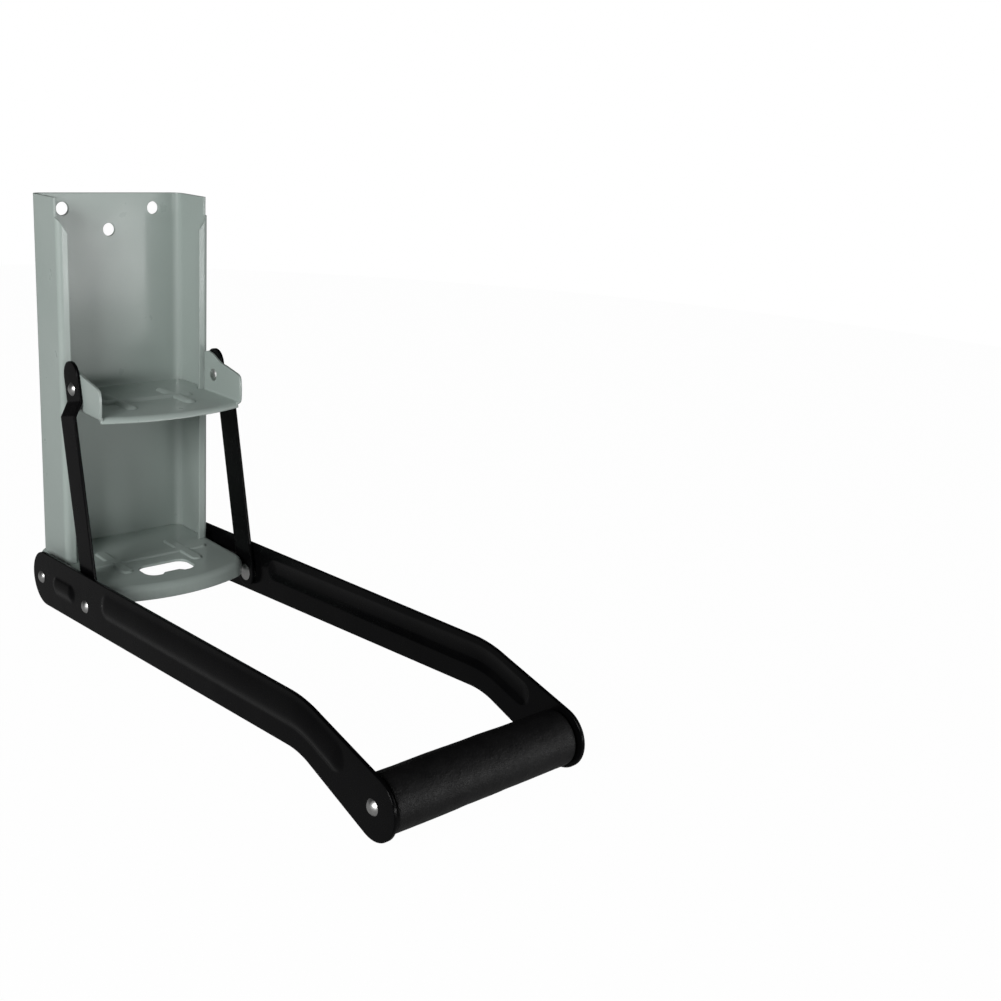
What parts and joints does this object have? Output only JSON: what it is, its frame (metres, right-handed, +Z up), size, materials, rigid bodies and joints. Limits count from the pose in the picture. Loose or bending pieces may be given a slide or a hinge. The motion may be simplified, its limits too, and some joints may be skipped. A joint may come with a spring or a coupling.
{
  "type": "lever can crusher",
  "caption": "Wall-mounted lever can crusher: a sheet channel guides a press plate that a forked lever with a soft grip drives down through links; the base pan has a bottle-opener hole.",
  "frame": {"origin": "on the wall face, on the centreline, level with the axis of the lever's pivots", "axes": "+Z up along the wall, +Y into the wall, so the lever comes forward along -Y, and +X to the right as seen from the front"},
  "size_m": [0.1196, 0.3746, 0.2508],
  "materials": {
    "grey_green_paint": "semi-gloss paint on pressed sheet",
    "black_paint": "satin black paint on pressed sheet",
    "foam": "matt closed-cell foam with a fine skin",
    "black_washer": "satin",
    "bright_steel": "bright plated"
  },
  "bodies": {
    "frame": {"back_channel": "grey_green_paint", "base_pan": "grey_green_paint", "base_rivets": "bright_steel", "pivot_rivet_left": "bright_steel", "pivot_rivet_right": "bright_steel", "pivot_spacer_left": "bright_steel", "pivot_spacer_right": "bright_steel"},
    "lever": {"lever_arm_left": "black_paint", "lever_arm_right": "black_paint", "link_lower_rivet_left": "bright_steel", "link_lower_rivet_right": "bright_steel", "link_lower_spacer_left": "bright_steel", "link_lower_spacer_right": "bright_steel", "handle_rod": "bright_steel", "handle_tube": "bright_steel", "grip_sleeve": "foam", "grip_washer_left": "black_washer", "grip_washer_right": "black_washer"},
    "press": {"press_shoe": "grey_green_paint", "link_upper_rivet_left": "bright_steel", "link_upper_rivet_right": "bright_steel"},
    "link_left": {"link_left": "black_paint", "link_lower_tail_left": "bright_steel"},
    "link_right": {"link_right": "black_paint", "link_lower_tail_right": "bright_steel"}
  },
  "joints": [
    {"name": "lever_pivot", "type": "hinge", "parent": "frame", "child": "lever", "pos_m": [0, -0.0178, 0], "axis": [-1, 0, 0], "range_deg": [0, 88]},
    {"name": "press_slide", "type": "slide", "parent": "frame", "child": "press", "axis": [0, 0, 1], "range_m": [0, 0.0598]},
    {"name": "link_left_pin", "type": "hinge", "parent": "press", "child": "link_left", "pos_m": [0, -0.0501, 0.12562], "axis": [1, 0, 0], "range_deg": [0, 27.28]},
    {"name": "link_right_pin", "type": "hinge", "parent": "press", "child": "link_right", "pos_m": [0, -0.0501, 0.12562], "axis": [1, 0, 0], "range_deg": [0, 27.28]}
  ],
  "couplings": [
    {"joint": "press_slide", "follows": "lever_pivot", "m_per_rad": 0.038935},
    {"joint": "link_left_pin", "follows": "lever_pivot", "ratio": 0.30999},
    {"joint": "link_right_pin", "follows": "lever_pivot", "ratio": 0.30999}
  ]
}
